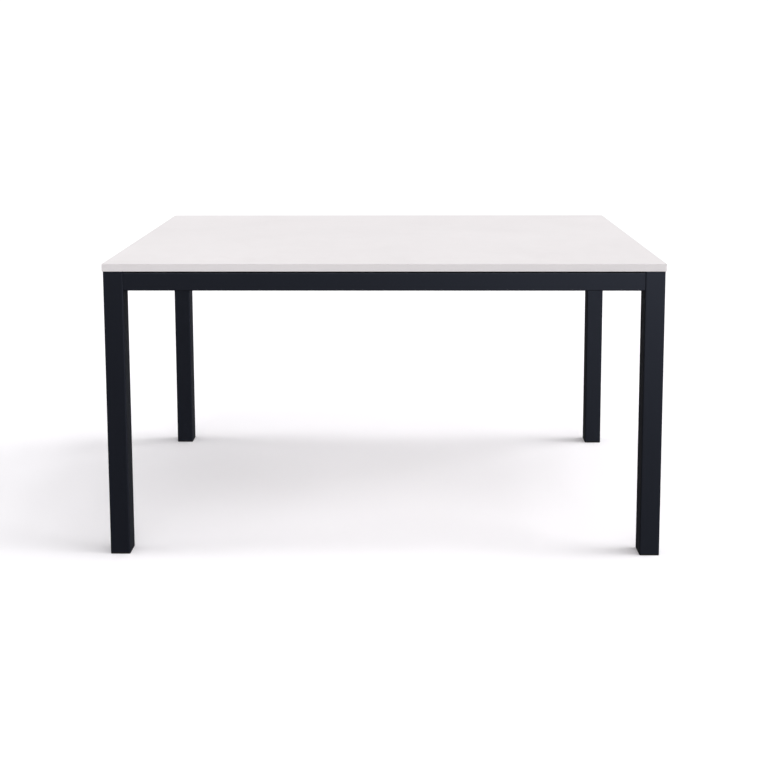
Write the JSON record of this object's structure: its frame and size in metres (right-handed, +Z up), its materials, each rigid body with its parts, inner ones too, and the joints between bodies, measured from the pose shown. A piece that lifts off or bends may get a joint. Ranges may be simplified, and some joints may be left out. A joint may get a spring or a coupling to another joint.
{
  "type": "dining table",
  "caption": "Rectangular parsons dining table: thin matte off-white board flush on a near-black square-tube frame with corner legs, bolted together with corner braces.",
  "frame": {"origin": "on the floor, below the middle of the top", "axes": "+Z up, +X along the table's length, the front faces -Y"},
  "size_m": [1.4, 0.9, 0.75],
  "materials": {
    "top_decor": "matte off-white laminate with faint cloudy variation",
    "edge_decor": "matte off-white edge band",
    "backing_sheet": "plain pale backing laminate",
    "board_core": "raw chipboard",
    "frame_coat": "satin near-black powder coat",
    "bracket_steel": "zinc-plated pressed steel",
    "fastener_zinc": "bright zinc",
    "plug_plastic": "fine-grained black moulding",
    "strip_rubber": "soft black rubber"
  },
  "bodies": {
    "root": {"board_screws": "fastener_zinc", "brace_bolts": "fastener_zinc", "bracket_bolts": "fastener_zinc", "corner_brace_back_left": "bracket_steel", "corner_brace_back_right": "bracket_steel", "corner_brace_front_left": "bracket_steel", "corner_brace_front_right": "bracket_steel", "edge_band_back": "edge_decor", "edge_band_front": "edge_decor", "edge_band_left": "edge_decor", "edge_band_right": "edge_decor", "foot_plug_back_left": "plug_plastic", "foot_plug_back_right": "plug_plastic", "foot_plug_front_left": "plug_plastic", "foot_plug_front_right": "plug_plastic", "leg_back_left": "frame_coat", "leg_back_right": "frame_coat", "leg_bolt_washers": "fastener_zinc", "leg_bolts": "fastener_zinc", "leg_cap_back_left": "plug_plastic", "leg_cap_back_right": "plug_plastic", "leg_cap_front_left": "plug_plastic", "leg_cap_front_right": "plug_plastic", "leg_front_left": "frame_coat", "leg_front_right": "frame_coat", "leg_nut_block_back_left": "bracket_steel", "leg_nut_block_back_right": "bracket_steel", "leg_nut_block_front_left": "bracket_steel", "leg_nut_block_front_right": "bracket_steel", "rail_back": "frame_coat", "rail_front": "frame_coat", "rail_left": "frame_coat", "rail_right": "frame_coat", "rail_strip_back": "strip_rubber", "rail_strip_front": "strip_rubber", "rail_strip_left": "strip_rubber", "rail_strip_right": "strip_rubber", "rivet_nuts": "fastener_zinc", "top_backing_laminate": "backing_sheet", "top_bracket_back_left": "bracket_steel", "top_bracket_back_middle": "bracket_steel", "top_bracket_back_right": "bracket_steel", "top_bracket_front_left": "bracket_steel", "top_bracket_front_middle": "bracket_steel", "top_bracket_front_right": "bracket_steel", "top_bracket_left": "bracket_steel", "top_bracket_right": "bracket_steel", "top_core": "board_core", "top_face_laminate": "top_decor"}
  },
  "joints": []
}
